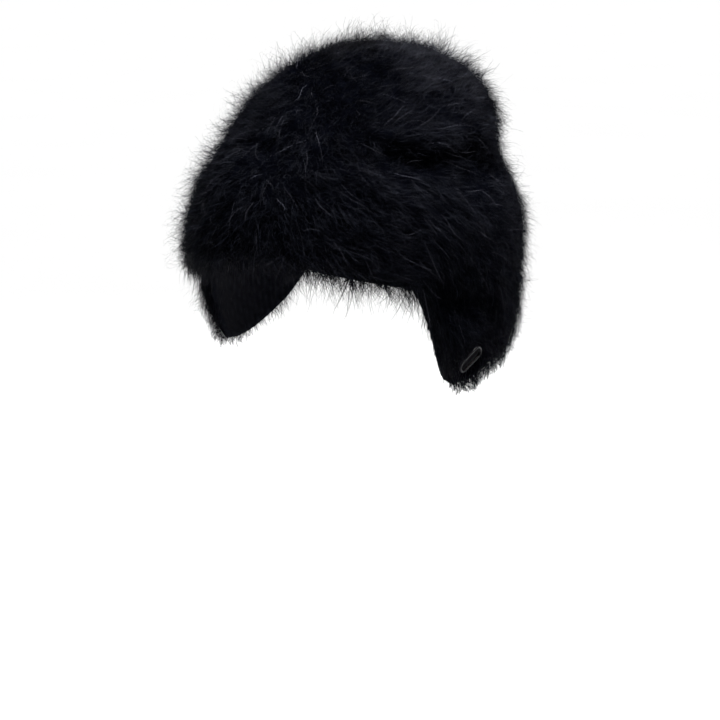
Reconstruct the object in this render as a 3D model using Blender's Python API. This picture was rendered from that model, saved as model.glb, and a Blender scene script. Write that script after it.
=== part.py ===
"""A soft knitted hat with ear flaps under a coat of black fur yarn, in the shape it takes when worn.
The front is -Y, the wearer's left is +X and up is +Z. The origin is the point on the inside of the crown
where the head's upright axis meets it. Everything is in metres."""

import math
import random

import bmesh
import bpy
import numpy as np
from mathutils import Vector, noise
from mathutils.bvhtree import BVHTree

# The hollow that the head fills
HOLLOW_WIDTH = 0.162
HOLLOW_LENGTH = 0.194
HOLLOW_DEPTH = 0.1645  # from the crown's inside top down to the knitted edge of the ear flaps
CROWN_LEAN = 0.024  # how far behind the head's axis the crown's top lies
CROWN_RISE = 0.0025  # how far the crown's inside top stands above the origin
BACK_FULLNESS = 0.06  # the share by which the plan is fuller behind the ears than before them

# The layers, from the inside out
KNIT_WALL = 0.0032
LAYER_GAP = 0.0003
FUR_BACKING = 0.0030
LOCK_RISE = 0.0050  # a lock's tip above the backing
LOWEST_LOCK = 0.0012
LOCK_HANG = 0.0028  # how far a tip hangs over the row below
CLUMP = 0.0160  # across a patch of higher or lower locks
RIM_FRINGE = 0.0064  # how far the last row hangs below the knitted edge
RIM_FRINGE_RISE = 0.0026

# The plain badge on the left ear flap
BADGE_LENGTH = 0.0190
BADGE_WIDTH = 0.0080
BADGE_THICK = 0.0030
BADGE_ANGLE = 80.0  # degrees round from the front
BADGE_DEPTH = 0.905  # share of the hollow's depth
BADGE_TILT = 28.0  # degrees, its rear end up
BADGE_ROOM = 0.0012  # cleared of locks all round it

COLUMNS = 64
KNIT_ROWS = 12
LOCK_ROWS = 26
LAST_LOCK_ROW = 0.978  # where the row that hangs off the edge starts, as a share of the way down
SEED = 41

# The form of the hollow. It rounds out like an egg down to where it is widest and longest, draws in at a soft
# waist under the slumped crown, and narrows towards the edge. Places down the wall are shares of the depth.
WIDEST = 0.62
LONGEST = 0.66
SIDES_FULL = 0.45  # an ellipse at 0.5, and a fuller crown below that
ENDS_FULL = 0.42
NARROWS = 0.53
WAIST = 0.13  # the share by which the sides draw in
WAIST_DEPTH = 0.31
WAIST_BREADTH = 0.12
LEAN_ENDS = 0.42  # where the crown's lean is used up
SECTION_STEP = 0.024  # about one step along the wall
STEPS_TO_WIDEST = 6.2
LAST_STEP = 10.0

# The knitted edge, in shares of the depth and in degrees round from the front. Both ear flaps are the same.
BROW = 0.538
BROW_MIDDLE = 6.0
BROW_ROUND = 8.0
BROW_FALL = 0.0023  # for each degree round from the brow's middle
NAPE = 0.790
FLAP_MIDDLE = 84.0
FLAP_ARC = 0.0001  # how fast the flap's lower edge rises beside its middle
FLAP_FRONT = (57.0, 76.0)  # where its front edge starts to fall and where it is down
FLAP_BACK = (112.0, 140.0)  # where its rear edge starts to rise and where it ends

# Folds and swells of the soft wall, each along a line: angle and depth share of one end, then of the other,
# then how far it moves the fur's surface outwards and how broad it is to one side, as shares of FOLD. The
# wall under the fur follows it less and more softly.
FOLD = 0.0050
FOLDS = (
    (46, 0.273, 68, 0.293, -1.00, 0.95),
    (68, 0.293, 85, 0.265, -0.50, 0.80),
    (85, 0.265, 105, 0.371, -0.50, 0.85),
    (42, 0.229, 70, 0.234, 0.64, 1.40),
    (70, 0.234, 88, 0.220, 0.60, 1.40),
    (88, 0.220, 106, 0.285, 0.50, 1.40),
    (39, 0.315, 57, 0.412, 0.48, 1.30),
    (84, 0.368, 88, 0.367, -0.64, 1.10),
    (20, 0.067, 44, 0.104, -0.60, 0.80),
    (10, 0.098, 23, 0.119, -0.40, 0.80),
    (-10, 0.263, 6, 0.278, -0.50, 1.00),
    (65, 0.644, 73, 0.692, -0.84, 1.40),
    (73, 0.692, 85, 0.714, -0.60, 1.20),
    (80, 0.900, 110, 0.885, 0.44, 2.60),
    (-62, 0.700, -86, 0.730, -0.84, 1.30),
    (-80, 0.900, -110, 0.885, 0.36, 2.60),
)
WALL_FOLLOWS = 0.5
WALL_SOFTENS = 1.8


def smooth(t, a=0.0, b=1.0):
    t = min(max((t - a) / (b - a), 0.0), 1.0)
    return t * t * (3 - 2 * t)


def bulge(depth, widest, full):
    """The share of the whole width or length at a share of the depth."""
    above = max(1.0 - depth / widest, 0.0)
    below = max(depth - widest, 0.0)
    return (1.0 - above**2) ** full - NARROWS * below**2


def section(u):
    """The depth, half width, half length and centre of the hollow, u steps along the wall from its top."""
    run = math.pi / 2 * u / STEPS_TO_WIDEST
    depth = WIDEST * (1.0 - math.cos(run) if run < math.pi / 2 else 1.0 + run - math.pi / 2)
    waist = 1.0 - WAIST * math.exp(-(((depth - WAIST_DEPTH) / WAIST_BREADTH) ** 2))
    return np.array(
        (
            HOLLOW_DEPTH * depth,
            HOLLOW_WIDTH / 2 * bulge(depth, WIDEST, SIDES_FULL) * waist,
            HOLLOW_LENGTH / 2 * bulge(depth, LONGEST, ENDS_FULL),
            CROWN_LEAN * (1.0 - smooth(depth, 0.0, LEAN_ENDS)),
        )
    )


def plain_point(angle, u):
    depth, half_width, half_length, centre = section(u)
    a = math.radians(angle)
    return Vector(
        (
            half_width * math.sin(a) * (1 - BACK_FULLNESS * math.cos(a)),
            centre - half_length * math.cos(a),
            CROWN_RISE - depth,
        )
    )


FINE = np.linspace(0.0, LAST_STEP, 1001)
FINE_DEPTH = np.array([section(u)[0] for u in FINE]) / HOLLOW_DEPTH


def level(depth_share):
    """How many steps along the wall that share of the depth lies."""
    return float(np.interp(depth_share, FINE_DEPTH, FINE))


def turn(a, b):
    """The angle from b to a, from -180 to 180 degrees."""
    return (a - b + 180.0) % 360.0 - 180.0


def fold(angle, u, follows=WALL_FOLLOWS, softens=WALL_SOFTENS):
    """How far the folds move the wall outwards here, or the fur's surface with both shares 1."""
    _, half_width, half_length, _ = section(u)
    radius = (half_width + half_length) / 2
    moved = 0.0
    for a0, d0, a1, d1, amount, breadth in FOLDS:
        u0, u1 = level(d0), level(d1)
        across = np.array((math.radians(turn(a1, a0)) * radius, (u1 - u0) * SECTION_STEP))
        here = np.array((math.radians(turn(angle, a0)) * radius, (u - u0) * SECTION_STEP))
        t = min(max(float(here @ across) / float(across @ across + 1e-12), 0.0), 1.0)
        away = float(np.linalg.norm(here - t * across))
        moved += follows * amount * FOLD * math.exp(-((away / (breadth * FOLD * softens)) ** 2))
    return moved


def wall_point(angle, u, out=0.0):
    """A point of the worn wall, out metres beyond its inside, and the way out there."""
    if u < 1e-6:
        return plain_point(0, 0) + Vector((0, 0, out + fold(0, 0))), Vector((0, 0, 1))
    round_it = plain_point(angle + 1.0, u) - plain_point(angle - 1.0, u)
    down_it = plain_point(angle, u + 0.02) - plain_point(angle, max(u - 0.02, 0.0))
    way = down_it.cross(round_it).normalized()
    return plain_point(angle, u) + way * (out + fold(angle, u)), way


def rim_share(angle):
    """The knitted edge's share of the depth at an angle."""
    angle = turn(angle, 0.0)
    aside = math.hypot(angle - BROW_MIDDLE, BROW_ROUND) - BROW_ROUND
    plain = min(BROW + BROW_FALL * aside, NAPE)
    side = abs(angle)
    lower = 1.0 - FLAP_ARC * (side - FLAP_MIDDLE) ** 2
    flap = smooth(side, *FLAP_FRONT) * (1.0 - smooth(side, *FLAP_BACK))
    return plain + (lower - plain) * flap


RIM_SAMPLES = np.linspace(-180.0, 180.0, 721)
RIM_LEVEL = np.array([level(rim_share(a)) for a in RIM_SAMPLES])
MEAN_LEVEL = float(RIM_LEVEL.mean())


def rim_walk():
    """The angle where each column meets the edge, part by equal angles and part by equal lengths of edge."""
    points = np.array([plain_point(a, u) for a, u in zip(RIM_SAMPLES, RIM_LEVEL)])
    length = np.concatenate([[0.0], np.cumsum(np.linalg.norm(np.diff(points, axis=0), axis=1))])
    equal_length = length / length[-1]
    equal_angle = (RIM_SAMPLES + 180.0) / 360.0
    mixed = 0.75 * equal_length + 0.25 * equal_angle
    return np.interp((np.arange(COLUMNS) + 0.5) / COLUMNS, mixed, RIM_SAMPLES)


RIM_ANGLES = rim_walk()


def place(column, share):
    """The angle and level of a column at a share of the way from the crown's top to the edge."""
    whole = math.floor(column / COLUMNS)
    column -= whole * COLUMNS
    top = -180.0 + 360.0 * (column + 0.5) / COLUMNS
    low = int(column)
    part = column - low
    first = RIM_ANGLES[low]
    second = RIM_ANGLES[low + 1] if low + 1 < COLUMNS else RIM_ANGLES[0] + 360.0
    end = first + (second - first) * part
    angle = top + (end - top) * smooth(share, 0.25, 1.0)
    last = float(np.interp(turn(end, 0.0), RIM_SAMPLES, RIM_LEVEL))
    mix = smooth(share, 0.15, 1.0)
    return angle, share * (MEAN_LEVEL * (1 - mix) + last * mix)


KNIT_SHARES = [(k + 1) / KNIT_ROWS for k in range(KNIT_ROWS)]
LOCK_SHARES = [LAST_LOCK_ROW * (k + 1) / (LOCK_ROWS - 1) for k in range(LOCK_ROWS - 1)] + [1.0]


def ring_count(share):
    return 8 if share < 0.05 else 16 if share < 0.14 else 32 if share < 0.25 else COLUMNS


def new_object(name, bm, colour, roughness, coat=0.0):
    bmesh.ops.recalc_face_normals(bm, faces=bm.faces)
    mesh = bpy.data.meshes.new(name)
    bm.to_mesh(mesh)
    bm.free()
    material = bpy.data.materials.new(name + "_material")
    material.use_nodes = True
    shader = material.node_tree.nodes["Principled BSDF"]
    shader.inputs["Base Color"].default_value = (*colour, 1.0)
    shader.inputs["Roughness"].default_value = roughness
    shader.inputs["Coat Weight"].default_value = coat
    mesh.materials.append(material)
    part = bpy.data.objects.new(name, mesh)
    bpy.context.scene.collection.objects.link(part)
    return part


def add_rings(bm, shares, out, ways=None, rng=None):
    """The vertices of one layer: the crown's top first, then a list for each ring. With rng the rings are
    staggered and a little uneven, for the locks."""
    rings = [[bm.verts.new(wall_point(0, 0, out)[0])]]
    for k, share in enumerate(shares):
        n = ring_count(share)
        step = COLUMNS // n
        loose = rng is not None and 0 < k < len(shares) - 2
        stagger = (0.25 if k % 2 else -0.25) if rng is not None and k < len(shares) - 1 else 0.0
        ring = []
        for j in range(n):
            aside = stagger + (rng.uniform(-0.12, 0.12) if loose else 0.0)
            along = rng.uniform(-0.12, 0.12) / len(shares) if loose else 0.0
            angle, u = place((j + aside) * step, share + along)
            spot, way = wall_point(angle, u, out)
            ring.append(bm.verts.new(spot))
            if ways is not None:
                ways[ring[-1]] = (way, fold(angle, u, 1.0, 1.0) - fold(angle, u))
        rings.append(ring)
    return rings


def cells(rings):
    """The outline of each cell between two rings: the upper corners, then the lower ones, right to left."""
    for k in range(len(rings) - 1):
        upper, lower = rings[k], rings[k + 1]
        if len(upper) == 1:
            for j in range(len(lower)):
                yield k, j, [upper[0], lower[(j + 1) % len(lower)], lower[j]]
            continue
        ratio = len(lower) // len(upper)
        for j in range(len(upper)):
            foot = [lower[(j * ratio + i) % len(lower)] for i in range(ratio, -1, -1)]
            yield k, j, [upper[j], upper[(j + 1) % len(upper)]] + foot


def add_smooth_faces(bm, rings):
    for _, _, outline in cells(rings):
        if len(outline) == 3:
            bm.faces.new(outline)
        elif len(outline) == 4:
            a, b, c, d = outline
            bm.faces.new((a, b, d))
            bm.faces.new((b, c, d))
        else:
            a, b, c, m, d = outline
            bm.faces.new((a, m, d))
            bm.faces.new((a, b, m))
            bm.faces.new((b, c, m))


def join_edges(bm, ring_a, ring_b):
    n = len(ring_a)
    for j in range(n):
        a, b = ring_a[j], ring_a[(j + 1) % n]
        d, c = ring_b[j], ring_b[(j + 1) % n]
        bm.faces.new((a, b, c))
        bm.faces.new((a, c, d))


def knit_cap():
    bm = bmesh.new()
    inner = add_rings(bm, KNIT_SHARES, 0.0)
    outer = add_rings(bm, KNIT_SHARES, KNIT_WALL)
    add_smooth_faces(bm, inner)
    add_smooth_faces(bm, outer)
    join_edges(bm, inner[-1], outer[-1])
    return new_object("knit_cap", bm, (0.014, 0.014, 0.018), 0.9)


def badge_frame():
    """The middle of the badge's underside, and its long, cross and outward directions."""
    u = level(BADGE_DEPTH)
    base = KNIT_WALL + LAYER_GAP + FUR_BACKING
    middle, way = wall_point(BADGE_ANGLE, u, base)
    back = (plain_point(BADGE_ANGLE + 1, u) - plain_point(BADGE_ANGLE - 1, u)).normalized()
    up = way.cross(back).normalized()
    if up.z < 0:
        up.negate()
    tilt = math.radians(BADGE_TILT)
    long_way = back * math.cos(tilt) + up * math.sin(tilt)
    return middle + way * LAYER_GAP * 1.2, long_way, way.cross(long_way), way


def badge_reach(point, frame):
    """How far beyond the badge's outline a point lies, seen square on, and its height above the underside."""
    middle, long_way, cross_way, way = frame
    offset = point - middle
    straight = (BADGE_LENGTH - BADGE_WIDTH) / 2
    x = max(abs(offset.dot(long_way)) - straight, 0.0)
    return math.hypot(x, offset.dot(cross_way)) - BADGE_WIDTH / 2, offset.dot(way)


def lock_tip(rng, corners, ways, outline_size, last, side_pull):
    """The tip of one lock over a cell, from its corner points and what add_rings noted of each."""
    upper = (corners[0] + corners[1]) / 2 if outline_size > 3 else corners[0]
    lower = (corners[-1] + corners[2 if outline_size > 3 else 1]) / 2
    middle = (upper + lower) / 2
    way = sum((w for w, _ in ways), Vector()).normalized()
    folded = sum(f for _, f in ways) / len(ways)
    down = (lower - upper).normalized()
    across = corners[2 if outline_size > 3 else 1] - corners[-1]
    clump = noise.noise(middle / CLUMP) + 0.5 * noise.noise(middle / (0.45 * CLUMP))
    rise = (1.0 + 0.30 * clump + rng.uniform(-0.22, 0.22)) * (RIM_FRINGE_RISE if last else LOCK_RISE)
    rise = max(rise + folded, LOWEST_LOCK)
    hang = rng.uniform(0.75, 1.25) * (RIM_FRINGE if last else min(LOCK_HANG, rise))
    side = side_pull + rng.uniform(-0.22, 0.22)
    return lower + way * rise + down * hang + across * side


def in_badge_room(corners, tip, frame):
    """Whether a lock would come up under the badge or within its room beside it."""
    edge = [a.lerp(b, t) for a, b in zip(corners, corners[1:] + corners[:1]) for t in (0.0, 0.33, 0.67)]
    for spot in (e.lerp(tip, t) for e in edge for t in (0.0, 0.2, 0.4, 0.6, 0.8, 1.0)):
        away, height = badge_reach(spot, frame)
        if away < BADGE_ROOM and height > -LAYER_GAP:
            return True
    return False


def part_locks(bm, peaks):
    """Pulls in the tips of locks that run into each other, until none does."""
    for _ in range(12):
        bm.faces.index_update()
        bm.faces.ensure_lookup_table()
        tree = BVHTree.FromBMesh(bm, epsilon=0.0)
        crossed = set()
        for a, b in tree.overlap(tree):
            first, second = bm.faces[a], bm.faces[b]
            if a < b and not set(first.verts) & set(second.verts):
                crossed.update(v for f in (first, second) for v in f.verts if v in peaks)
        if not crossed:
            return
        for peak in sorted(crossed, key=lambda v: tuple(v.co)):
            peak.co = peak.co.lerp(peaks[peak], 0.25)


def fur_pile():
    rng = random.Random(SEED)
    frame = badge_frame()
    inside = KNIT_WALL + LAYER_GAP
    bm = bmesh.new()
    inner = add_rings(bm, KNIT_SHARES, inside)
    ways = {}
    outer = add_rings(bm, LOCK_SHARES, inside + FUR_BACKING, ways, rng)
    ways[outer[0][0]] = (Vector((0, 0, 1)), 0.0)
    add_smooth_faces(bm, inner)
    join_edges(bm, inner[-1], outer[-1])
    peaks = {}
    for k, j, outline in list(cells(outer)):
        corners = [v.co.copy() for v in outline]
        middle = sum(corners, Vector()) / len(corners)
        pull = 0.0
        if middle.y < 0.15 * HOLLOW_LENGTH:
            pull = math.copysign(0.2 * smooth(-middle.z / HOLLOW_DEPTH, 0.0, 0.3), middle.x)
        tip = lock_tip(
            rng, corners, [ways[v] for v in outline], len(outline), k == LOCK_ROWS - 1, pull
        )
        if middle.x > 0 and in_badge_room(corners, tip, frame):
            tip = middle
        peak = bm.verts.new(tip)
        peaks[peak] = middle
        for a, b in zip(outline, outline[1:] + outline[:1]):
            bm.faces.new((a, b, peak))
    part_locks(bm, peaks)
    return new_object("fur_pile", bm, (0.006, 0.006, 0.009), 0.85)


def ear_badge():
    """A plain bar with rounded ends and edges."""
    middle, long_way, cross_way, way = badge_frame()
    straight = (BADGE_LENGTH - BADGE_WIDTH) / 2
    radius = BADGE_WIDTH / 2
    edge = BADGE_THICK * 0.4
    profile = [
        (radius - edge * 0.6, 0.0),
        (radius - edge * 0.15, edge * 0.25),
        (radius, edge * 0.8),
        (radius, BADGE_THICK - edge),
        (radius - edge * 0.3, BADGE_THICK - edge * 0.3),
        (radius - edge, BADGE_THICK),
    ]
    arc = 8
    bm = bmesh.new()
    rings = []
    for r, height in profile:
        ring = []
        for end in (1, -1):
            for i in range(arc + 1):
                a = math.pi * (i / arc - 0.5)
                x = end * (straight + r * math.cos(a))
                y = end * r * math.sin(a)
                ring.append(bm.verts.new(middle + long_way * x + cross_way * y + way * height))
        rings.append(ring)
    for lower, upper in zip(rings, rings[1:]):
        join_edges(bm, lower, upper)
    for ring, height in ((rings[0], 0.0), (rings[-1], BADGE_THICK * 1.1)):
        centre = bm.verts.new(middle + way * height)
        for a, b in zip(ring, ring[1:] + ring[:1]):
            bm.faces.new((a, b, centre))
    return new_object("ear_badge", bm, (0.010, 0.010, 0.012), 0.18, coat=0.6)


for old in list(bpy.data.objects):
    bpy.data.objects.remove(old, do_unlink=True)

knit_cap()
fur_pile()
ear_badge()
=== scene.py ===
"""Visual model of the fur-yarn knitted hat with ear flaps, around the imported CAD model. Metres, front -Y,
the wearer's left +X, up +Z, origin inside the crown."""

import math

import bpy
import numpy as np
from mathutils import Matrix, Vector
from mathutils.kdtree import KDTree


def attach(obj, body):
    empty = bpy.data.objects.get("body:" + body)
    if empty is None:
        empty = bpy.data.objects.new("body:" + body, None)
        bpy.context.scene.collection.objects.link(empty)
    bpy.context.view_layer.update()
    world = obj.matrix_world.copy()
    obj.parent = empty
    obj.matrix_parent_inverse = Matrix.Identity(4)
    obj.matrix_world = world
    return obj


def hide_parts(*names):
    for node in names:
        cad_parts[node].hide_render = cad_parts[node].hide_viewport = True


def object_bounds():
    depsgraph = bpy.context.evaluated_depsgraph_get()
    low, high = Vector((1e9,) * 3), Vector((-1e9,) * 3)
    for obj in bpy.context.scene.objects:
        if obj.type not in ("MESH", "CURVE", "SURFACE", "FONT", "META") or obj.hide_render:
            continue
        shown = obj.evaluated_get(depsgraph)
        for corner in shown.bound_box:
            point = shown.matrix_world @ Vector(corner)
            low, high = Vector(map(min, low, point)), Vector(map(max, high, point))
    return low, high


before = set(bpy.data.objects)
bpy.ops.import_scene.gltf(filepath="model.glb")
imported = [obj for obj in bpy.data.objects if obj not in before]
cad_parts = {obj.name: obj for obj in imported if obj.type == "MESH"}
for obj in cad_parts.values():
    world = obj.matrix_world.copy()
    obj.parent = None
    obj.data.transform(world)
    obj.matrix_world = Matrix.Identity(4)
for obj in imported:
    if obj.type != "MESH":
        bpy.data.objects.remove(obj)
cad_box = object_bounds()

# The hat's sizes, in metres, degrees and shares, the same as in the CAD model
HOLLOW_WIDTH = 0.162
HOLLOW_LENGTH = 0.194
HOLLOW_DEPTH = 0.1645
CROWN_LEAN = 0.024
CROWN_RISE = 0.0025
BACK_FULLNESS = 0.06
KNIT_WALL = 0.0032
LAYER_GAP = 0.0003
FUR_BACKING = 0.0030
LOCK_RISE = 0.0050
BADGE_LENGTH = 0.0190
BADGE_WIDTH = 0.0080
BADGE_THICK = 0.0030
BADGE_ANGLE = 80.0
BADGE_DEPTH = 0.905
BADGE_TILT = 28.0
COLUMNS = 64
WIDEST = 0.62
LONGEST = 0.66
SIDES_FULL = 0.45  # an ellipse at 0.5, and a fuller crown below that
ENDS_FULL = 0.42
NARROWS = 0.53
WAIST = 0.13  # the share by which the sides draw in
WAIST_DEPTH = 0.31
WAIST_BREADTH = 0.12
LEAN_ENDS = 0.42  # where the crown's lean is used up
SECTION_STEP = 0.024  # about one step along the wall
STEPS_TO_WIDEST = 6.2
LAST_STEP = 10.0

# The knitted edge, in shares of the depth and in degrees round from the front. Both ear flaps are the same.
BROW = 0.538
BROW_MIDDLE = 6.0
BROW_ROUND = 8.0
BROW_FALL = 0.0023  # for each degree round from the brow's middle
NAPE = 0.790
FLAP_MIDDLE = 84.0
FLAP_ARC = 0.0001  # how fast the flap's lower edge rises beside its middle
FLAP_FRONT = (57.0, 76.0)  # where its front edge starts to fall and where it is down
FLAP_BACK = (112.0, 140.0)  # where its rear edge starts to rise and where it ends

FOLD = 0.0050
FOLDS = (
    (46, 0.273, 68, 0.293, -1.00, 0.95),
    (68, 0.293, 85, 0.265, -0.50, 0.80),
    (85, 0.265, 105, 0.371, -0.50, 0.85),
    (42, 0.229, 70, 0.234, 0.64, 1.40),
    (70, 0.234, 88, 0.220, 0.60, 1.40),
    (88, 0.220, 106, 0.285, 0.50, 1.40),
    (39, 0.315, 57, 0.412, 0.48, 1.30),
    (84, 0.368, 88, 0.367, -0.64, 1.10),
    (20, 0.067, 44, 0.104, -0.60, 0.80),
    (10, 0.098, 23, 0.119, -0.40, 0.80),
    (-10, 0.263, 6, 0.278, -0.50, 1.00),
    (65, 0.644, 73, 0.692, -0.84, 1.40),
    (73, 0.692, 85, 0.714, -0.60, 1.20),
    (80, 0.900, 110, 0.885, 0.44, 2.60),
    (-62, 0.700, -86, 0.730, -0.84, 1.30),
    (-80, 0.900, -110, 0.885, 0.36, 2.60),
)
WALL_FOLLOWS = 0.5
WALL_SOFTENS = 1.8
FUR_ROOT = KNIT_WALL + LAYER_GAP + FUR_BACKING

# The way the coat is combed, as sweeps: an angle, a share of the depth, and degrees from straight down the
# wall towards the wearer's left. Beyond SWEEPS_MIRROR the other side is swept the same way.
SWEEPS = (
    (25, 0.03, 95), (75, 0.10, 100), (60, 0.24, 100), (95, 0.25, 60),  # the crown, swept back
    (0, 0.20, 0), (-25, 0.30, -40), (0, 0.45, 20),  # the front, down and to both sides
    (35, 0.45, 55), (50, 0.58, 75),  # over the front edge, swept back along it
    (85, 0.45, 25), (80, 0.78, 10),  # over the ear, and down the flap
    (140, 0.30, 20), (180, 0.60, 0),  # the back, straight down
)
SWEEPS_MIRROR = 45
SWEEP_REACH = 0.026

# Painted light and tone of the coat, each along a line: painted shade in the creases, dents and hollows over
# the ear and above the badge, painted sheen on the crown's top and along the ridges, and some lighter and
# darker patches. Each gives the angle and depth share of one end, then of the other, the change of shade,
# and the breadth to one side
PAINTED_LIGHT_AND_TONE = (
    (44, 0.262, 68, 0.283, -0.14, 0.0034),
    (52, 0.292, 66, 0.304, -0.12, 0.0060),
    (42, 0.240, 66, 0.258, 0.16, 0.0026),
    (66, 0.258, 86, 0.232, 0.14, 0.0024),
    (86, 0.232, 100, 0.292, 0.12, 0.0026),
    (68, 0.688, 76, 0.712, -0.30, 0.0085),
    (13, 0.034, 43, 0.076, -0.60, 0.0044),
    (70, 0.130, 88, 0.150, -0.24, 0.0060),
    (6, 0.075, 21, 0.095, -0.24, 0.0040),
    (85, 0.360, 89, 0.359, -0.40, 0.0046),
    (-10, 0.253, 5, 0.269, -0.28, 0.0040),
    (-25, 0.430, -4, 0.460, -0.12, 0.0120),
    (-30, 0.560, 60, 0.700, -0.08, 0.0160),
    (44, 0.214, 92, 0.206, 0.26, 0.0060),
    (20, -0.010, 90, 0.030, 0.70, 0.0200),
    (-20, 0.010, 20, 0.040, 0.50, 0.0110),
    (60, 0.105, 98, 0.130, 0.38, 0.0120),
    (-30, 0.335, -16, 0.282, 0.24, 0.0070),
    (-20, 0.357, -14, 0.330, 0.14, 0.0060),
    (39, 0.306, 57, 0.403, 0.24, 0.0050),
)

# The photograph's view
CAMERA_AZIMUTH = 32.0
CAMERA_ELEVATION = 19.0
CAMERA_DISTANCE = 0.6562
CAMERA_LENS = 55.0
CAMERA_ASIDE = 0.0033
CAMERA_AIM_Z = -0.1693
FLOOR_Z = -0.365

rng = np.random.default_rng(41)


def smooth(t, a=0.0, b=1.0):
    t = np.clip((t - a) / (b - a), 0.0, 1.0)
    return t * t * (3 - 2 * t)


def unit(v):
    return v / np.maximum(np.linalg.norm(v, axis=-1, keepdims=True), 1e-12)


def bulge(depth, widest, full):
    """The share of the whole width or length at a share of the depth."""
    above = np.maximum(1.0 - depth / widest, 0.0)
    below = np.maximum(depth - widest, 0.0)
    return (1.0 - above**2) ** full - NARROWS * below**2


def section(u):
    """The depth, half width, half length and centre of the hollow, u steps along the wall from its top."""
    run = math.pi / 2 * np.asarray(u) / STEPS_TO_WIDEST
    depth = WIDEST * np.where(run < math.pi / 2, 1.0 - np.cos(run), 1.0 + run - math.pi / 2)
    waist = 1.0 - WAIST * np.exp(-(((depth - WAIST_DEPTH) / WAIST_BREADTH) ** 2))
    return np.stack([
        HOLLOW_DEPTH * depth,
        HOLLOW_WIDTH / 2 * bulge(depth, WIDEST, SIDES_FULL) * waist,
        HOLLOW_LENGTH / 2 * bulge(depth, LONGEST, ENDS_FULL),
        CROWN_LEAN * (1.0 - smooth(depth, 0.0, LEAN_ENDS)),
    ], -1)


def plain_point(angle, u):
    depth, half_width, half_length, centre = np.moveaxis(section(u), -1, 0)
    a = np.radians(angle)
    return np.stack([
        half_width * np.sin(a) * (1 - BACK_FULLNESS * np.cos(a)),
        centre - half_length * np.cos(a),
        CROWN_RISE - depth,
    ], -1)


FINE = np.linspace(0.0, LAST_STEP, 2001)
FINE_DEPTH = section(FINE)[:, 0] / HOLLOW_DEPTH


def level(depth_share):
    return np.interp(depth_share, FINE_DEPTH, FINE)


def turn(a, b):
    return (a - b + 180.0) % 360.0 - 180.0


def near_line(angle, u, line):
    """How far places on the wall lie from a line between two of its points."""
    a0, d0, a1, d1 = line[:4]
    _, half_width, half_length, _ = np.moveaxis(section(u), -1, 0)
    radius = (half_width + half_length) / 2
    u0, u1 = level(d0), level(d1)
    ax, ay = math.radians(turn(a1, a0)) * radius, (u1 - u0) * SECTION_STEP
    hx, hy = np.radians(turn(angle, a0)) * radius, (u - u0) * SECTION_STEP
    t = np.clip((hx * ax + hy * ay) / (ax * ax + ay * ay + 1e-12), 0, 1)
    return np.hypot(hx - t * ax, hy - t * ay)


def fold(angle, u, follows, softens):
    """How far the folds move the surface outwards."""
    moved = np.zeros(np.shape(u))
    for line in FOLDS:
        away = near_line(angle, u, line)
        moved += follows * line[4] * FOLD * np.exp(-((away / (line[5] * FOLD * softens)) ** 2))
    return moved


def rim_share(angle):
    """The knitted edge's share of the depth at an angle."""
    angle = turn(angle, 0.0)
    plain = np.minimum(BROW + BROW_FALL * (np.hypot(angle - BROW_MIDDLE, BROW_ROUND) - BROW_ROUND), NAPE)
    side = np.abs(angle)
    lower = 1.0 - FLAP_ARC * (side - FLAP_MIDDLE) ** 2
    flap = smooth(side, *FLAP_FRONT) * (1.0 - smooth(side, *FLAP_BACK))
    return plain + (lower - plain) * flap


RIM_SAMPLES = np.linspace(-180.0, 180.0, 721)
RIM_LEVEL = level(rim_share(RIM_SAMPLES))
MEAN_LEVEL = float(RIM_LEVEL.mean())


def rim_walk():
    points = plain_point(RIM_SAMPLES, RIM_LEVEL)
    length = np.concatenate([[0.0], np.cumsum(np.linalg.norm(np.diff(points, axis=0), axis=1))])
    mixed = 0.75 * length / length[-1] + 0.25 * (RIM_SAMPLES + 180.0) / 360.0
    return np.interp((np.arange(COLUMNS) + 0.5) / COLUMNS, mixed, RIM_SAMPLES)


RIM_ANGLES = rim_walk()
RIM_RING = np.append(RIM_ANGLES, RIM_ANGLES[0] + 360.0)


def place(column, share):
    column = np.mod(column, COLUMNS)
    top = -180.0 + 360.0 * (column + 0.5) / COLUMNS
    end = np.interp(column, np.arange(COLUMNS + 1), RIM_RING)
    angle = top + (end - top) * smooth(share, 0.25, 1.0)
    last = np.interp(turn(end, 0.0), RIM_SAMPLES, RIM_LEVEL)
    mix = smooth(share, 0.15, 1.0)
    return angle, share * (MEAN_LEVEL * (1 - mix) + last * mix)


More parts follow.
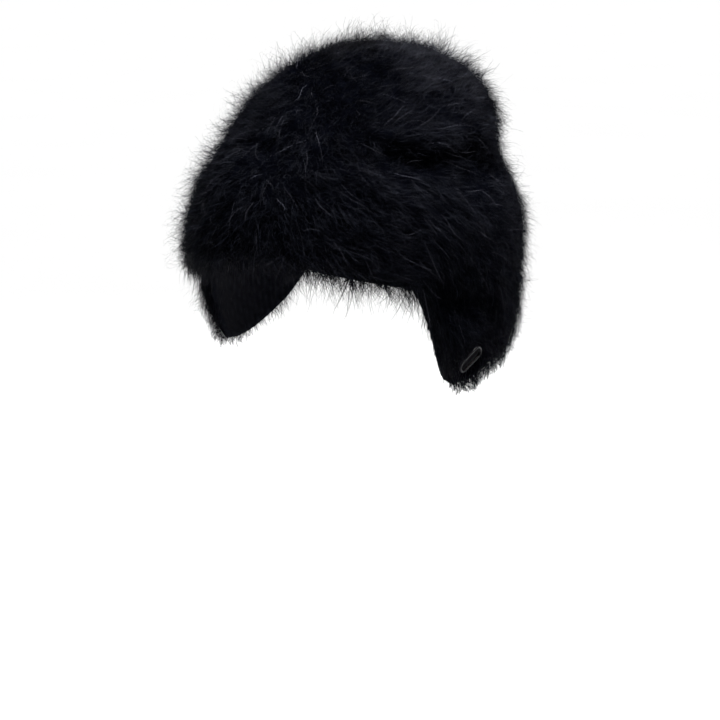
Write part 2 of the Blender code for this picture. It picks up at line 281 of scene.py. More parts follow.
class Field:
    """The worn wall on a fine grid of columns and shares, read between its points."""

    def __init__(self, nc=960, ns=360, top=1.04):  # columns, rows, and the last row's share
        self.nc, self.ns, self.top = nc, ns, top
        c, s = np.meshgrid(np.arange(nc) * COLUMNS / nc, np.linspace(0.0, top, ns + 1))
        angle, u = place(c, s)
        u = np.maximum(u, 1e-4)
        round_it = plain_point(angle + 1.0, u) - plain_point(angle - 1.0, u)
        down_it = plain_point(angle, u + 0.02) - plain_point(angle, np.maximum(u - 0.02, 0.0))
        way = unit(np.cross(down_it, round_it))
        way[0] = (0, 0, 1)
        flat = plain_point(angle, u)
        wall = fold(angle, u, WALL_FOLLOWS, WALL_SOFTENS)
        fine = fold(angle, u, 1.0, 1.0) - wall
        at = flat + way * (FUR_ROOT + wall)[..., None]
        down = unit(np.gradient(at, axis=0))
        around = unit(np.roll(at, -1, 1) - np.roll(at, 1, 1))
        down[0] = down[1]
        around[0] = around[1]
        self.pack = np.concatenate([flat, way, down, around, wall[..., None], fine[..., None]], -1)
        d1 = at[1:] - at[:-1]
        d2 = np.roll(at, -1, 1)[:-1] - at[:-1]
        self.area = np.linalg.norm(np.cross(d1, d2), axis=-1)

    def read(self, c, s):
        x = np.mod(c, COLUMNS) * self.nc / COLUMNS
        y = np.clip(s / self.top, 0, 1) * self.ns
        i = np.floor(x).astype(int)
        j = np.minimum(np.floor(y).astype(int), self.ns - 1)
        fx, fy = (x - i)[..., None], (y - j)[..., None]
        i0, i1 = i % self.nc, (i + 1) % self.nc
        g = self.pack
        upper = g[j, i0] * (1 - fx) + g[j, i1] * fx
        lower = g[j + 1, i0] * (1 - fx) + g[j + 1, i1] * fx
        v = upper * (1 - fy) + lower * fy
        return {
            "flat": v[..., 0:3], "way": unit(v[..., 3:6]), "down": unit(v[..., 6:9]),
            "around": unit(v[..., 9:12]), "wall": v[..., 12], "fine": v[..., 13],
        }

    def scatter(self, n, low=0.0, high=1.0):
        """n places spread evenly over the area between two shares."""
        j0, j1 = int(low / self.top * self.ns), int(high / self.top * self.ns)
        weight = self.area[j0:j1].ravel()
        pick = rng.choice(len(weight), n, p=weight / weight.sum())
        j, i = np.divmod(pick, self.nc)
        c = (i + rng.random(n)) * COLUMNS / self.nc
        s = (j + j0 + rng.random(n)) * self.top / self.ns
        return c, s


field = Field()


def waves(points, scale, seed, terms=28):
    """A smooth uneven field through space, about from -1 to 1, with hills about scale apart."""
    r = np.random.default_rng(seed)
    way = unit(r.normal(size=(terms, 3))) * (2 * math.pi / scale) * r.uniform(0.55, 1.35, (terms, 1))
    shift = r.uniform(0, 2 * math.pi, terms)
    return np.cos(points @ way.T + shift).sum(-1) * math.sqrt(2.0 / terms) * 0.6


def painted_light_lines():
    """The lines of the painted shade, sheen and tone as points just under the coat's outside, about 3 mm
    apart.
    """
    made = []
    for a0, d0, a1, d1, amount, breadth in PAINTED_LIGHT_AND_TONE:
        t = np.linspace(0, 1, max(3, int(abs(a1 - a0) / 2.0)))
        angle = a0 + (a1 - a0) * t
        u = np.maximum(level(d0) + (level(d1) - level(d0)) * t, 0.004)
        round_it = plain_point(angle + 1.0, u) - plain_point(angle - 1.0, u)
        down_it = plain_point(angle, u + 0.02) - plain_point(angle, np.maximum(u - 0.02, 0.0))
        out = unit(np.cross(down_it, round_it)) * (FUR_ROOT + 0.0042)
        made.append((plain_point(angle, u) + out, amount, breadth))
    return made


PAINTED_LIGHT_POINTS = painted_light_lines()


def painted_light_and_tone(points):
    """How much the painted shade in creases and hollows, the painted sheen on the crown and ridges, and the
    patches of tone darken or lighten the coat at each point of some hairs.
    """
    total = np.zeros(points.shape[:-1])
    for line, amount, breadth in PAINTED_LIGHT_POINTS:
        away = np.min([((points - q) ** 2).sum(-1) for q in line], axis=0)
        total += amount * np.exp(-away / breadth**2)
    return total


def fur_height(points, fine):
    """How far the coat's dense surface stands above the roots."""
    lumps = (0.0007 * waves(points, 0.034, 5) + 0.0009 * waves(points, 0.014, 6)
             + 0.0004 * waves(points, 0.008, 7))
    return np.maximum(LOCK_RISE + np.where(fine < 0, 0.85, 1.2) * fine + lumps, 0.0008)


# Meshes


def new_object(name, verts, faces_flat, sizes, material):
    mesh = bpy.data.meshes.new(name)
    mesh.vertices.add(len(verts))
    mesh.vertices.foreach_set("co", np.ascontiguousarray(verts, np.float32).ravel())
    mesh.loops.add(len(faces_flat))
    mesh.loops.foreach_set("vertex_index", np.ascontiguousarray(faces_flat, np.int32))
    starts = np.concatenate([[0], np.cumsum(sizes)[:-1]]).astype(np.int32)
    mesh.polygons.add(len(sizes))
    mesh.polygons.foreach_set("loop_start", starts)
    mesh.polygons.foreach_set("loop_total", np.ascontiguousarray(sizes, np.int32))
    mesh.polygons.foreach_set("use_smooth", np.full(len(sizes), True))
    mesh.update(calc_edges=True)
    mesh.validate()
    mesh.materials.append(material)
    obj = bpy.data.objects.new(name, mesh)
    bpy.context.scene.collection.objects.link(obj)
    return obj


def shell(name, outer, inner, material):
    """A closed skin from two stacks of rings, both from the crown's top down, joined at the edge."""
    rings = [outer[k] for k in range(1, len(outer))] + [inner[k] for k in range(len(inner) - 1, 0, -1)]
    n = outer.shape[1]
    verts = np.vstack([outer[0, :1], *rings, inner[0, :1]])
    faces, sizes = [], []
    j = np.arange(n)
    k = (j + 1) % n
    first = 1
    faces.append(np.stack([np.zeros(n, int), first + k, first + j], 1).ravel())
    sizes.append(np.full(n, 3))
    for r in range(len(rings) - 1):
        a, b = 1 + r * n, 1 + (r + 1) * n
        faces.append(np.stack([a + j, a + k, b + k, b + j], 1).ravel())
        sizes.append(np.full(n, 4))
    last = 1 + (len(rings) - 1) * n
    end = len(verts) - 1
    faces.append(np.stack([last + j, last + k, np.full(n, end)], 1).ravel())
    sizes.append(np.full(n, 3))
    return new_object(name, verts, np.concatenate(faces), np.concatenate(sizes), material)


def set_shade(obj, values):
    """Each point's lightness, which the materials read: with the hairs it holds their own tone with painted
    shade and sheen, and on the knit the painted shade of its grooves.
    """
    shade_with_painted_light = obj.data.attributes.new("shade", "FLOAT", "POINT")
    shade_with_painted_light.data.foreach_set("value", values.astype(np.float32))


def ribbons(name, path, cross, width, material, shade):
    """Flat tapering hairs: path and cross are (hairs, points, 3), width and shade are (hairs, points)."""
    n, k, _ = path.shape
    left = path[:, :-1] - cross[:, :-1] * (width[:, :-1, None] / 2)
    right = path[:, :-1] + cross[:, :-1] * (width[:, :-1, None] / 2)
    per = 2 * (k - 1) + 1
    verts = np.empty((n, per, 3))
    verts[:, 0:-1:2] = left
    verts[:, 1:-1:2] = right
    verts[:, -1] = path[:, -1]
    base = (np.arange(n) * per)[:, None]
    loops, sizes = [], []
    for q in range(k - 2):
        loops.append(base + np.array([2 * q, 2 * q + 1, 2 * q + 3, 2 * q + 2]))
        sizes.append(4)
    loops.append(base + np.array([per - 3, per - 2, per - 1]))
    sizes.append(3)
    corners = np.concatenate(loops, 1).ravel()
    obj = new_object(name, verts.reshape(-1, 3), corners, np.tile(sizes, n), material)
    lightness = np.empty((n, per))
    lightness[:, 0:-1:2] = shade[:, :-1]
    lightness[:, 1:-1:2] = shade[:, :-1]
    lightness[:, -1] = shade[:, -1]
    set_shade(obj, lightness.ravel())
    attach(obj, "root")
    return obj


def hair_paths(c, s, root, rise, lay, heading, points, bunch=None, bunch_pull=0.0, wave=0.0, droop=0.0,
               twist=0.9, curl=None):
    """Hairs from places on the wall. heading is degrees from straight down towards the wearer's left."""
    at = field.read(c, s)
    n = len(c)
    start = at["flat"] + at["way"] * (root + at["wall"])[:, None]
    h = np.radians(heading)[:, None]
    along = at["down"] * np.cos(h) + at["around"] * np.sin(h)
    aside = np.cross(at["way"], along)
    t = np.linspace(0, 1, points)[None, :]
    up = rise[:, None] * (1 - (1 - t) ** 1.9)
    out = lay[:, None] * t**1.35
    phase = rng.uniform(0, 2 * math.pi, (n, 1)) if curl is None else curl[:, None]
    turns = rng.uniform(0.5, 1.3, (n, 1)) if curl is None else 0.6 + 0.1 * curl[:, None]
    swing = np.atleast_1d(wave)[:, None] * (np.sin(2 * math.pi * turns * t + phase) - np.sin(phase)) * t
    lift = np.atleast_1d(wave)[:, None] * 0.6 * (np.sin(2 * math.pi * turns * 1.2 * t + phase * 1.7)
                                                  - np.sin(phase * 1.7)) * t
    path = (start[:, None] + at["way"][:, None] * (up + lift)[..., None] + along[:, None] * out[..., None]
            + aside[:, None] * swing[..., None])
    if bunch is not None:
        path = path + bunch[:, None] * (np.reshape(bunch_pull, (-1, 1)) * t**1.1)[..., None]
    path[..., 2] -= np.atleast_1d(droop)[:, None] * t**2
    tangent = unit(np.gradient(path, axis=1))
    flat = unit(np.cross(tangent, at["way"][:, None]))
    other = np.cross(tangent, flat)
    tw = rng.uniform(-twist, twist, (n, 1, 1))
    cross = flat * np.cos(tw) + other * np.sin(tw)
    return path, cross


# Materials


def material(name):
    m = bpy.data.materials.new(name)
    m.use_nodes = True
    nodes = m.node_tree.nodes
    return m, nodes, m.node_tree.links, nodes["Principled BSDF"]


def noise_node(nodes, links, scale, detail=3.0):
    place_node = nodes.new("ShaderNodeTexCoord")
    noise = nodes.new("ShaderNodeTexNoise")
    noise.inputs["Scale"].default_value = scale
    noise.inputs["Detail"].default_value = detail
    links.new(place_node.outputs["Object"], noise.inputs["Vector"])
    return noise


def ramp_node(nodes, links, source, stops):
    ramp = nodes.new("ShaderNodeValToRGB")
    ramp.color_ramp.elements[0].position, ramp.color_ramp.elements[0].color = stops[0]
    ramp.color_ramp.elements[1].position, ramp.color_ramp.elements[1].color = stops[-1]
    for at, colour in stops[1:-1]:
        ramp.color_ramp.elements.new(at).color = colour
    links.new(source, ramp.inputs["Fac"])
    return ramp


def fur_material(name, stops, roughness, specular, scale=170.0, hairs=True):
    """Dark fur: its colour runs over the stops with each point's shade, which holds painted shade and sheen
    as well as the hairs' own tone, and a slow unevenness.
    """
    m, nodes, links, shader = material(name)
    noise = noise_node(nodes, links, scale)
    source = noise.outputs["Fac"]
    if hairs:
        shade_with_painted_light = nodes.new("ShaderNodeAttribute")
        shade_with_painted_light.attribute_name = "shade"
        both = nodes.new("ShaderNodeMath")
        both.operation = "MULTIPLY_ADD"
        links.new(noise.outputs["Fac"], both.inputs[0])
        both.inputs[1].default_value = 0.30
        links.new(shade_with_painted_light.outputs["Fac"], both.inputs[2])
        source = both.outputs["Value"]
    ramp = ramp_node(nodes, links, source, stops)
    links.new(ramp.outputs["Color"], shader.inputs["Base Color"])
    shader.inputs["Roughness"].default_value = roughness
    shader.inputs["Specular IOR Level"].default_value = specular
    shader.inputs["Specular Tint"].default_value = (0.58, 0.68, 1.0, 1.0)
    return m


coat_material = fur_material("coat_hair", [
    (0.35, (0.00002, 0.00004, 0.00012, 1)), (0.70, (0.00015, 0.00019, 0.00038, 1)),
    (1.00, (0.0016, 0.0017, 0.0023, 1))], 0.50, 0.0095)
guard_material = fur_material("guard_hair", [
    (0.35, (0.00007, 0.00010, 0.00023, 1)), (0.70, (0.00036, 0.00043, 0.00078, 1)),
    (1.00, (0.0044, 0.0046, 0.0055, 1))], 0.50, 0.012)
light_material = fur_material("light_hair", [
    (0.30, (0.002, 0.002, 0.003, 1)), (0.95, (0.019, 0.019, 0.023, 1))], 0.50, 0.05)
under_material = fur_material("under_fur", [
    (0.35, (0.00010, 0.00012, 0.00026, 1)), (0.68, (0.00034, 0.00040, 0.00072, 1))], 0.95, 0.0, hairs=False)
knit_material = fur_material("knit_yarn", [
    (0.24, (0.00010, 0.00013, 0.00028, 1)), (0.55, (0.00070, 0.00078, 0.0012, 1)),
    (0.86, (0.0020, 0.0021, 0.0029, 1))], 0.90, 0.012, 900.0)


def badge_paint(name, base, specular, low, high):
    """Plain black, its roughness uneven between low and high."""
    m, nodes, links, shader = material(name)
    noise = noise_node(nodes, links, 420.0, 4.0)
    stops = [(0.3, (low, low, low, 1)), (0.8, (high, high, high, 1))]
    ramp = ramp_node(nodes, links, noise.outputs["Fac"], stops)
    links.new(ramp.outputs["Color"], shader.inputs["Roughness"])
    shader.inputs["Base Color"].default_value = base
    shader.inputs["Specular IOR Level"].default_value = specular
    return m


rim_material = badge_paint("badge_gloss", (0.0010, 0.0010, 0.0014, 1), 0.040, 0.14, 0.28)
middle_material = badge_paint("badge_matt", (0.0008, 0.0008, 0.0011, 1), 0.010, 0.60, 0.80)

# The badge's place


def badge_frame():
    angle, u = np.array(BADGE_ANGLE), np.array(float(level(BADGE_DEPTH)))
    round_it = plain_point(angle + 1, u) - plain_point(angle - 1, u)
    down_it = plain_point(angle, u + 0.02) - plain_point(angle, u - 0.02)
    way = unit(np.cross(down_it, round_it))
    middle = plain_point(angle, u) + way * (FUR_ROOT + float(fold(angle, u, WALL_FOLLOWS, WALL_SOFTENS)))
    back = unit(round_it)
    up = unit(np.cross(way, back))
    if up[2] < 0:
        up = -up
    tilt = math.radians(BADGE_TILT)
    long_way = back * math.cos(tilt) + up * math.sin(tilt)
    return middle + way * LAYER_GAP * 1.2, long_way, np.cross(way, long_way), way


BADGE = badge_frame()


def badge_distance(points):
    """How far outside the badge's outline points lie, seen square on."""
    middle, long_way, cross_way, way = BADGE
    offset = points - middle
    x = np.maximum(np.abs(offset @ long_way) - (BADGE_LENGTH - BADGE_WIDTH) / 2, 0)
    away = np.hypot(x, offset @ cross_way) - BADGE_WIDTH / 2
    return np.where(np.abs(offset @ way) < 0.025, away, 1.0)


def beside_badge(path, room):
    """Which hairs come within room of the badge, seen square on."""
    above = (path - BADGE[0]) @ BADGE[3] > -0.004
    return ((badge_distance(path) < room) & above).any(1)


# The matted fur under the hairs


def undercoat():
    columns, rows = 288, 84
    shares = np.linspace(0, 1, rows + 1) ** 0.97
    c, s = np.meshgrid(np.arange(columns) * COLUMNS / columns, shares)
    at = field.read(c, s)
    base = at["flat"] + at["way"] * (FUR_ROOT + at["wall"])[..., None]
    height = fur_height(base, at["fine"])
    lumps = 0.0004 * waves(base, 0.0055, 9)
    edge = smooth(s, 1.0, 0.955)
    clear = smooth(badge_distance(base), BADGE_WIDTH * 0.3, BADGE_WIDTH * 0.8)
    out = FUR_ROOT + (0.60 * height + lumps) * edge * clear - 0.0016 * (1 - edge)
    outer = at["flat"] + at["way"] * (out + at["wall"])[..., None]
    ci, si = np.meshgrid(np.arange(columns) * COLUMNS / columns, np.linspace(0, 1, 13))
    ati = field.read(ci, si)
    inner = ati["flat"] + ati["way"] * (KNIT_WALL + LAYER_GAP + ati["wall"])[..., None]
    return shell("fur_undercoat", outer, inner, under_material)


# The knitted wall, with its stitches on the inside


STITCHES = 60  # round the hat
COURSES = 26  # from the crown's top to the edge


def knit_wall():
    columns, rows = 240, 80
    c, s = np.meshgrid(np.arange(columns) * COLUMNS / columns, np.linspace(0, 1, rows + 1))
    at = field.read(c, s)
    x = c / COLUMNS * STITCHES
    y = s * COURSES
    ridge = np.abs(np.cos(math.pi * (y + 0.30 * np.cos(2 * math.pi * x)))) ** 0.8
    ridge = ridge * (0.66 + 0.34 * np.cos(4 * math.pi * x))
    relief = 0.0011 * ridge * smooth(s, 0.03, 0.15)
    inside = 0.0008 - relief
    inner = at["flat"] + at["way"] * (inside + at["wall"])[..., None]
    ci, si = np.meshgrid(np.arange(columns) * COLUMNS / columns, np.linspace(0, 1, 13))
    ati = field.read(ci, si)
    outer = ati["flat"] + ati["way"] * (KNIT_WALL + ati["wall"])[..., None]
    obj = shell("knit_wall", outer, inner, knit_material)
    # The grooves between the stitches are painted darker and the ridges lighter: painted shade in the
    # recesses of the knit.
    shade = 0.10 + 0.60 * ridge
    shade_with_painted_light = np.concatenate([np.full(1 + columns * (len(outer) - 1), 0.4), shade[:0:-1].ravel(), shade[0, :1]])
    set_shade(obj, shade_with_painted_light)
    return obj


under = undercoat()
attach(under, "root")
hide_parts("fur_pile")

wall = knit_wall()
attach(wall, "root")
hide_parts("knit_cap")


# The badge, a plain bar with a raised glossy rim round a sunk matt middle


def badge(name, profile, paint):
    """A closed form round the badge's middle. profile runs from the back, as pairs of the distance from the
    long axis and the height."""
    middle, long_way, cross_way, way = BADGE
    arc = 24
    straight = (BADGE_LENGTH - BADGE_WIDTH) / 2
    rings = []
    for r, height in profile:
        ring = []
        for end in (1, -1):
            for i in range(arc + 1):
                a = math.pi * (i / arc - 0.5)
                ring.append(middle + long_way * end * (straight + r * math.cos(a))
                            + cross_way * end * r * math.sin(a) + way * height)
        rings.append(np.array(ring))
    n = len(rings[0])
    verts = np.vstack(rings + [middle[None] + way * profile[0][1], middle[None] + way * profile[-1][1]])
    j = np.arange(n)
    k = (j + 1) % n
    faces, sizes = [], []
    for r in range(len(rings) - 1):
        faces.append(np.stack([r * n + j, r * n + k, (r + 1) * n + k, (r + 1) * n + j], 1).ravel())
        sizes.append(np.full(n, 4))
    faces.append(np.stack([k, j, np.full(n, len(verts) - 2)], 1).ravel())
    last = (len(rings) - 1) * n
    faces.append(np.stack([last + j, last + k, np.full(n, len(verts) - 1)], 1).ravel())
    sizes += [np.full(n, 3), np.full(n, 3)]
    obj = new_object(name, verts, np.concatenate(faces), np.concatenate(sizes), paint)
    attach(obj, "root")
    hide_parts("ear_badge")


HALF_WIDE = BADGE_WIDTH / 2
BEAD = 0.0007  # the rim's round, as a radius
RIM_INNER = HALF_WIDE - 2 * BEAD
MIDDLE_HIGH = BADGE_THICK * 0.55
badge("badge_rim", [(RIM_INNER, MIDDLE_HIGH - 0.0005), (RIM_INNER, 0.0)]
      + [(HALF_WIDE - 0.0003, 0.0), (HALF_WIDE, 0.0004)]
      + [(HALF_WIDE - BEAD + BEAD * math.cos(a), BADGE_THICK - BEAD + BEAD * math.sin(a))
         for a in np.linspace(0, math.pi, 13)]
      + [(RIM_INNER, MIDDLE_HIGH - 0.0002)], rim_material)
badge("badge_middle", [(HALF_WIDE - 1.7 * BEAD, 0.0003), (HALF_WIDE - 1.7 * BEAD, MIDDLE_HIGH - 0.0004),
                       (HALF_WIDE - 2.2 * BEAD, MIDDLE_HIGH), (HALF_WIDE * 0.2, MIDDLE_HIGH + 0.0001)],
      middle_material)


# The tufts that the hairs gather in


def lay_heading(points, c, s):
    """Which way the coat lies, in degrees from straight down the wall towards the wearer's left."""
    sweeps = np.array(SWEEPS + tuple((-a, d, -h) for a, d, h in SWEEPS if a > SWEEPS_MIRROR), dtype=float)
    swept = plain_point(sweeps[:, 0], level(sweeps[:, 1]))
    away = np.linalg.norm(points[:, None] - swept[None], axis=-1)
    weight = np.exp(-((away / SWEEP_REACH) ** 2)) + 1e-7 * np.exp(-away / 0.02)
    h = np.radians(sweeps[:, 2])
    heading = np.degrees(np.arctan2(weight @ np.sin(h), weight @ np.cos(h)))
    return heading + calm(c, s) * (16 * waves(points, 0.030, 21) + 22 * waves(points, 0.011, 22))


def calm(c, s, least=0.30):
    """1 in the open coat, and the least value by the creases, where it lies close and in order."""
    angle, u = place(c, s)
    away = np.min([near_line(angle, u, line) for line in FOLDS if line[4] < -0.45], axis=0)
    return least + (1 - least) * smooth(away, 0.002, 0.013)


def base_of(c, s):
    """Where hairs start, how high the coat stands there, and the share of the depth."""
    at = field.read(c, s)
    base = at["flat"] + at["way"] * (FUR_ROOT + at["wall"])[:, None]
    return base, fur_height(base, at["fine"]), -at["flat"][:, 2] / HOLLOW_DEPTH


class Tufts:
    """Places that the hairs of a coat gather round, each with its own lay."""

    def __init__(self, count, swing, lift_spread, shade_spread):
        c, s = field.scatter(count)
        self.base, _, _ = base_of(c, s)
        self.heading = lay_heading(self.base, c, s) + rng.normal(0, swing, count)
        self.lift = np.clip(rng.normal(1.0, lift_spread, count), 0.6, 1.6)
        self.shade = rng.normal(0.0, shade_spread, count)
        self.curl = rng.uniform(0, 2 * math.pi, count)
        self.tree = KDTree(count)
        for i, p in enumerate(self.base):
            self.tree.insert(p, i)
        self.tree.balance()

    def nearest(self, points):
        return np.array([self.tree.find(p)[1] for p in points])


FEW = 1.0
ALONG = np.linspace(0, 1, 5)[None]
HANGS_BELOW = 0.0142  # how far hairs may hang below the CAD model
LOWEST = cad_box[0][2] - HANGS_BELOW
CLOSE_BY_BADGE = 0.0004  # how near the badge the coat may lie
LOOSE_BY_BADGE = 0.0006
COAT_ROOT = FUR_ROOT - 0.0006
CORNER = 56.0  # where the brow's edge turns down into the flap, in degrees from the front
CORNER_REACH = 9.0
small_tufts = Tufts(3800, 12, 0.10, 0.07)
wisps = Tufts(1700, 26, 0.16, 0.10)


def mat_hairs(name, count):
    """The dense mat of fine hairs that lie over one another."""
    count = int(count * FEW)
    c, s = field.scatter(count)
    base, height, _ = base_of(c, s)
    which = small_tufts.nearest(base)
    rise = height * small_tufts.lift[which] * rng.uniform(0.55, 1.05, count)
    near = calm(c, s)
    lay = rng.uniform(0.0065, 0.0125, count) * (0.4 + 0.6 * near)
    heading = small_tufts.heading[which] + rng.normal(0, 17, count) * near
    pull = rng.uniform(0.10, 0.60, count)
    path, cross = hair_paths(c, s, np.full(count, COAT_ROOT), rise, lay, heading, 5,
                             small_tufts.base[which] - base, pull, wave=rng.uniform(0.0003, 0.0012, count))
    keep = ~beside_badge(path, CLOSE_BY_BADGE)
    width = np.array([0.00022, 0.00023, 0.00021, 0.00015, 0.0])[None] * rng.uniform(0.7, 1.2, (count, 1))
    shade = 0.28 + 0.28 * ALONG + rng.gamma(1.6, 0.07, (count, 1)) + small_tufts.shade[which][:, None]
    # Painted shade in the creases and hollows and painted sheen on the crown's top and ridges, added to each
    # hair's shade
    shade = shade + painted_light_and_tone(path)
    return ribbons(name, path[keep], cross[keep], width[keep], coat_material, shade[keep])


def wisp_hairs(name, count):
    """Longer hairs in loose curling locks over the mat."""
    count = int(count * FEW)
    c, s = field.scatter(count)
    base, height, _ = base_of(c, s)
    which = wisps.nearest(base)
    rise = height * wisps.lift[which] * rng.uniform(0.80, 1.15, count) + 0.0002
    lay = rng.uniform(0.0080, 0.0150, count)
    near = calm(c, s)
    lay = lay * (0.35 + 0.65 * near)
    heading = wisps.heading[which] + rng.normal(0, 7, count)
    stray = rng.random(count) < 0.18 * near
    heading = np.where(stray, heading + rng.normal(0, 45, count), heading)
    rise = np.where(stray, rise * rng.uniform(1.0, 1.3, count), rise)
    pull = np.where(stray, 0.0, rng.uniform(0.45, 0.90, count))
    curl = wisps.curl[which] + rng.normal(0, 0.4, count)
    path, cross = hair_paths(c, s, np.full(count, COAT_ROOT), rise, lay, heading, 5,
                             wisps.base[which] - base, pull,
                             wave=rng.uniform(0.0006, 0.0020, count), curl=curl)
    keep = ~beside_badge(path, CLOSE_BY_BADGE)
    width = np.array([0.00020, 0.00021, 0.00019, 0.00013, 0.0])[None] * rng.uniform(0.7, 1.2, (count, 1))
    # Painted shade in the creases and hollows and painted sheen on the crown's top and ridges, added to each
    # hair's shade
    shade = 0.30 + 0.30 * ALONG + rng.gamma(1.6, 0.08, (count, 1)) + wisps.shade[which][:, None] + painted_light_and_tone(path)
    return ribbons(name, path[keep], cross[keep], width[keep], coat_material, shade[keep])


mat_hairs("coat_mat", 26500)
wisp_hairs("coat_wisps", 27500)


def fine_hairs(name, count):
    """The long loose hairs that stand out of the coat and soften its outline."""
    count = int(count * FEW)
    c, s = field.scatter(count)
    base, height, depth = base_of(c, s)
    which = wisps.nearest(base)
    crown = smooth(depth, 0.45, 0.05)
    uneven = np.clip(1.0 + 0.55 * waves(base, 0.022, 31) + 0.35 * waves(base, 0.010, 32), 0.35, 2.2)
    near = calm(c, s, 0.45)
    angle = turn(place(c, s)[0], 0.0)
    rear = smooth(np.abs(turn(angle, -60.0)), 60.0, 130.0) * smooth(depth, 0.05, 0.30)
    low = smooth(depth, 0.35, 0.60)
    long_one = rng.random(count) < 0.16 - 0.07 * rear - 0.03 * low
    tail_length = 0.0017 + 0.0002 * crown - 0.0004 * rear - 0.0002 * low
    tail = rng.gamma(1.15 + 0.35 * crown, tail_length, count) * uneven
    long_rise = rng.uniform(0.003, 0.0115 - 0.003 * rear - 0.0025 * crown, count)
    rise = height + np.where(long_one, long_rise, tail) * near
    rise = np.minimum(rise, 0.0200)
    lay = rng.uniform(0.004, 0.014, count) * (0.4 + 0.6 * near)
    heading = lay_heading(base, c, s) + rng.normal(0, 42, count)
    pull = np.where(rng.random(count) < 0.4, rng.uniform(0.1, 0.6, count), 0.0)
    path, cross = hair_paths(c, s, np.full(count, FUR_ROOT), rise, lay, heading, 5,
                             wisps.base[which] - base, pull,
                             wave=rng.uniform(0.0006, 0.0026, count), twist=1.5)
    keep = ~beside_badge(path, LOOSE_BY_BADGE)
    width = np.array([0.00011, 0.00012, 0.00011, 0.00008, 0.0])[None] * rng.uniform(0.7, 1.2, (count, 1))
    width = width * np.where(long_one, 0.80, 1.0)[:, None]
    # Painted shade in the creases and hollows and painted sheen on the crown's top and ridges, added to each
    # hair's shade
    shade = 0.28 + 0.25 * ALONG + rng.gamma(1.2, 0.09, (count, 1)) + 0.8 * painted_light_and_tone(path)
    return ribbons(name, path[keep], cross[keep], width[keep], guard_material, shade[keep])


fine_hairs("fine_hairs_a", 26500)
fine_hairs("fine_hairs_b", 26500)


def light_hairs(name, count):
    """The single paler hairs that lie over the coat."""
    c, s = field.scatter(count, 0.1, 1.0)
    base, height, _ = base_of(c, s)
    rise = height * rng.uniform(0.95, 1.2, count) + 0.0006
    lay = rng.uniform(0.008, 0.024, count)
    heading = lay_heading(base, c, s) + rng.normal(0, 30, count)
    path, cross = hair_paths(c, s, np.full(count, FUR_ROOT + 0.002), rise - 0.002, lay, heading, 8,
                             wave=rng.uniform(0.0002, 0.0016, count), twist=1.0)
    keep = ~beside_badge(path, LOOSE_BY_BADGE)
    width = np.array([0.00006, 0.00008, 0.00009, 0.00009, 0.00009, 0.00008, 0.00006, 0.0])[None]
    width = width * rng.uniform(0.7, 1.4, (count, 1))
    shade = 0.15 + 0.45 * np.sin(math.pi * np.linspace(0.1, 0.9, 8))[None] + rng.gamma(1.3, 0.14, (count, 1))
    return ribbons(name, path[keep], cross[keep], width[keep], light_material, shade[keep])


light_hairs("light_hairs", 700)


def fringe(name, count):
    """The hairs that hang and curl below the knitted edge."""
    count = int(count * FEW)
    c = rng.uniform(0, COLUMNS, count)
    s = rng.uniform(0.955, 1.0, count)
    base, _, depth = base_of(c, s)
    which = wisps.nearest(base)
    uneven = np.clip(1.0 + 0.34 * waves(base, 0.018, 41) + 0.22 * waves(base, 0.008, 42), 0.50, 1.8)
    angle = np.degrees(np.arctan2(base[:, 0], -base[:, 1]))
    corner = np.exp(-(((np.abs(angle) - CORNER) / CORNER_REACH) ** 2))
    slope = np.degrees(rim_share(angle + 0.5) - rim_share(angle - 0.5)) * HOLLOW_DEPTH
    square = np.degrees(np.arctan2(-slope, np.hypot(base[:, 0], base[:, 1])))
    tip = smooth(depth, 0.86, 0.98)
    lay = (0.0058 + 0.0016 * tip + 0.0060 * corner + rng.gamma(1.6, 0.0028, count)) * uneven
    root = rng.uniform(0.0003, FUR_ROOT + 0.0035, count)
    rise = rng.uniform(-0.0004, 0.0030, count) - np.where(root > FUR_ROOT, 0.0012, 0.0)
    heading = lay_heading(base, c, s) * 0.35 + square * 0.75
    heading += 22 * np.sin(wisps.curl[which]) + rng.normal(0, 28, count)
    path, cross = hair_paths(c, s, root, rise, lay, heading, 6, wave=rng.uniform(0.0006, 0.0026, count),
                             droop=rng.uniform(0, 0.002, count), twist=1.3)
    keep = ~beside_badge(path, LOOSE_BY_BADGE) & (path[..., 2].min(1) > LOWEST)
    width = np.array([0.00028, 0.00029, 0.00026, 0.00020, 0.00012, 0.0])[None]
    width = width * rng.uniform(0.5, 1.1, (count, 1))
    shade = 0.28 + 0.22 * np.linspace(0, 1, 6)[None] + rng.gamma(1.4, 0.07, (count, 1))
    return ribbons(name, path[keep], cross[keep], width[keep], coat_material, shade[keep])


fringe("rim_fringe", 6000)


def haze(name, count):
    """The finest curling hairs that stand below the fringe."""
    count = int(count * FEW)
    c = rng.uniform(0, COLUMNS, count)
    s = rng.uniform(0.965, 1.0, count)
    base, _, _ = base_of(c, s)
    uneven = np.clip(1.0 + 0.45 * waves(base, 0.020, 43) + 0.35 * waves(base, 0.009, 44), 0.4, 1.9)
    lay = np.minimum((0.0080 + rng.gamma(2.0, 0.0022, count)) * uneven, 0.0190)
    root = rng.uniform(0.0005, FUR_ROOT + 0.0030, count)
    rise = rng.uniform(-0.0004, 0.0045, count) - np.where(root > FUR_ROOT, 0.0012, 0.0)
    path, cross = hair_paths(c, s, root, rise, lay, rng.normal(8, 36, count), 7,
                             wave=rng.uniform(0.0010, 0.0042, count), twist=1.4)
    keep = ~beside_badge(path, LOOSE_BY_BADGE) & (path[..., 2].min(1) > LOWEST)
    width = np.array([0.00009, 0.00010, 0.00010, 0.00009, 0.00008, 0.00006, 0.0])[None]
    width = width * rng.uniform(0.6, 1.2, (count, 1))
    shade = 0.35 + 0.30 * np.linspace(0, 1, 7)[None] + rng.gamma(1.4, 0.09, (count, 1))
    return ribbons(name, path[keep], cross[keep], width[keep], guard_material, shade[keep])


haze("rim_haze", 6000)


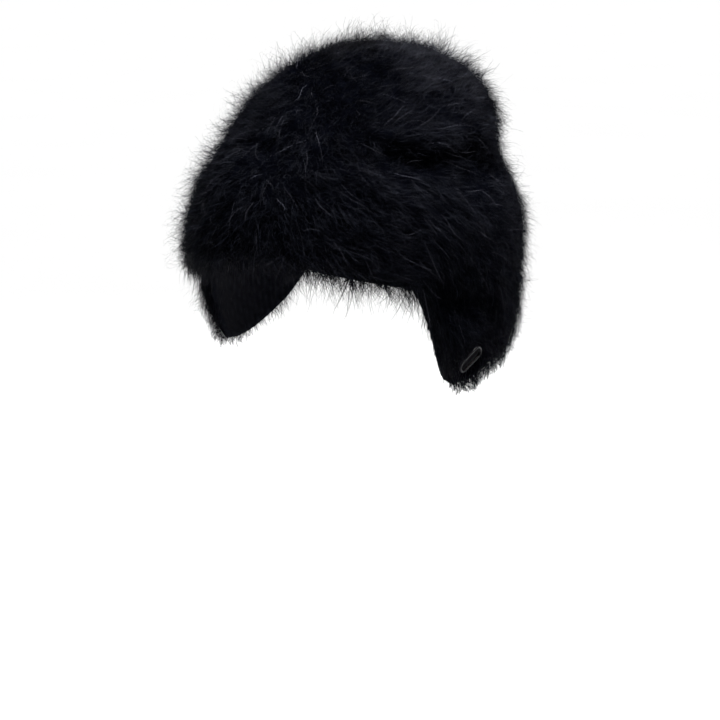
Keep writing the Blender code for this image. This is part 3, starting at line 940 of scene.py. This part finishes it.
def inner_fuzz(name, count):
    """Short hairs that lie on the inside of the knit, thicker towards its edge."""
    count = int(count * FEW)
    c, s = field.scatter(count, 0.0, 1.0)
    keep = rng.random(count) < 0.35 + 0.65 * smooth(s, 0.6, 0.95)
    c, s = c[keep], s[keep]
    n = len(c)
    rise = -rng.uniform(0.0002, 0.0009, n)
    lay = rng.uniform(0.003, 0.007, n)
    path, cross = hair_paths(c, s, np.full(n, 0.0004), rise, lay, rng.normal(0, 60, n), 4,
                             wave=rng.uniform(0.0002, 0.0006, n), twist=0.5)
    width = np.array([0.00020, 0.00022, 0.00016, 0.0])[None] * rng.uniform(0.7, 1.2, (n, 1))
    shade = 0.30 + 0.25 * np.linspace(0, 1, 4)[None] + rng.gamma(1.4, 0.08, (n, 1))
    return ribbons(name, path, cross, width, coat_material, shade)


inner_fuzz("inner_fuzz", 7000)


# Floor, light and camera

floor_material, f_nodes, f_links, f_shader = material("floor_paper")
f_noise = noise_node(f_nodes, f_links, 3.0)
f_ramp = ramp_node(f_nodes, f_links, f_noise.outputs["Fac"],
                   [(0.3, (0.975, 0.975, 0.975, 1)), (0.7, (0.985, 0.985, 0.985, 1))])
f_links.new(f_ramp.outputs["Color"], f_shader.inputs["Base Color"])
f_shader.inputs["Roughness"].default_value = 0.9
f_shader.inputs["Specular IOR Level"].default_value = 0.1
FLOOR_HALF = 60.0
floor = new_object("floor", np.array([(x * FLOOR_HALF, y * FLOOR_HALF, FLOOR_Z)
                                      for x, y in ((-1, -1), (1, -1), (1, 1), (-1, 1))]),
                   np.array([0, 1, 2, 3]), np.array([4]), floor_material)

scene = bpy.context.scene
world = bpy.data.worlds.new("studio")
scene.world = world
world.use_nodes = True
world.node_tree.nodes["Background"].inputs["Color"].default_value = (1.0, 1.0, 1.0, 1.0)
world.node_tree.nodes["Background"].inputs["Strength"].default_value = 1.025


def area_light(name, azimuth, elevation, distance, size, power, spread):
    data = bpy.data.lights.new(name, "AREA")
    data.size = size
    data.spread = math.radians(spread)
    data.energy = power
    light = bpy.data.objects.new(name, data)
    a, e = math.radians(azimuth), math.radians(elevation)
    way = Vector((math.sin(a) * math.cos(e), -math.cos(a) * math.cos(e), math.sin(e)))
    light.location = Vector((0, 0, -0.08)) + way * distance
    light.rotation_euler = way.to_track_quat("Z", "Y").to_euler()
    scene.collection.objects.link(light)


area_light("key_light", 110, 80, 1.6, 0.7, 19, 26)
area_light("fill_light", -30, 62, 1.8, 0.7, 1.2, 30)

a, e = math.radians(CAMERA_AZIMUTH), math.radians(CAMERA_ELEVATION)
back = Vector((math.sin(a) * math.cos(e), -math.cos(a) * math.cos(e), math.sin(e)))
aim = Vector((CAMERA_ASIDE * math.cos(a), CAMERA_ASIDE * math.sin(a), CAMERA_AIM_Z))
camera_data = bpy.data.cameras.new("camera")
camera_data.lens = CAMERA_LENS
camera_data.sensor_width = 36.0
camera_data.clip_start = 0.01
camera = bpy.data.objects.new("camera", camera_data)
camera.location = aim + back * CAMERA_DISTANCE
camera.rotation_euler = back.to_track_quat("Z", "Y").to_euler()
scene.collection.objects.link(camera)
scene.camera = camera
scene.view_settings.view_transform = "Standard"
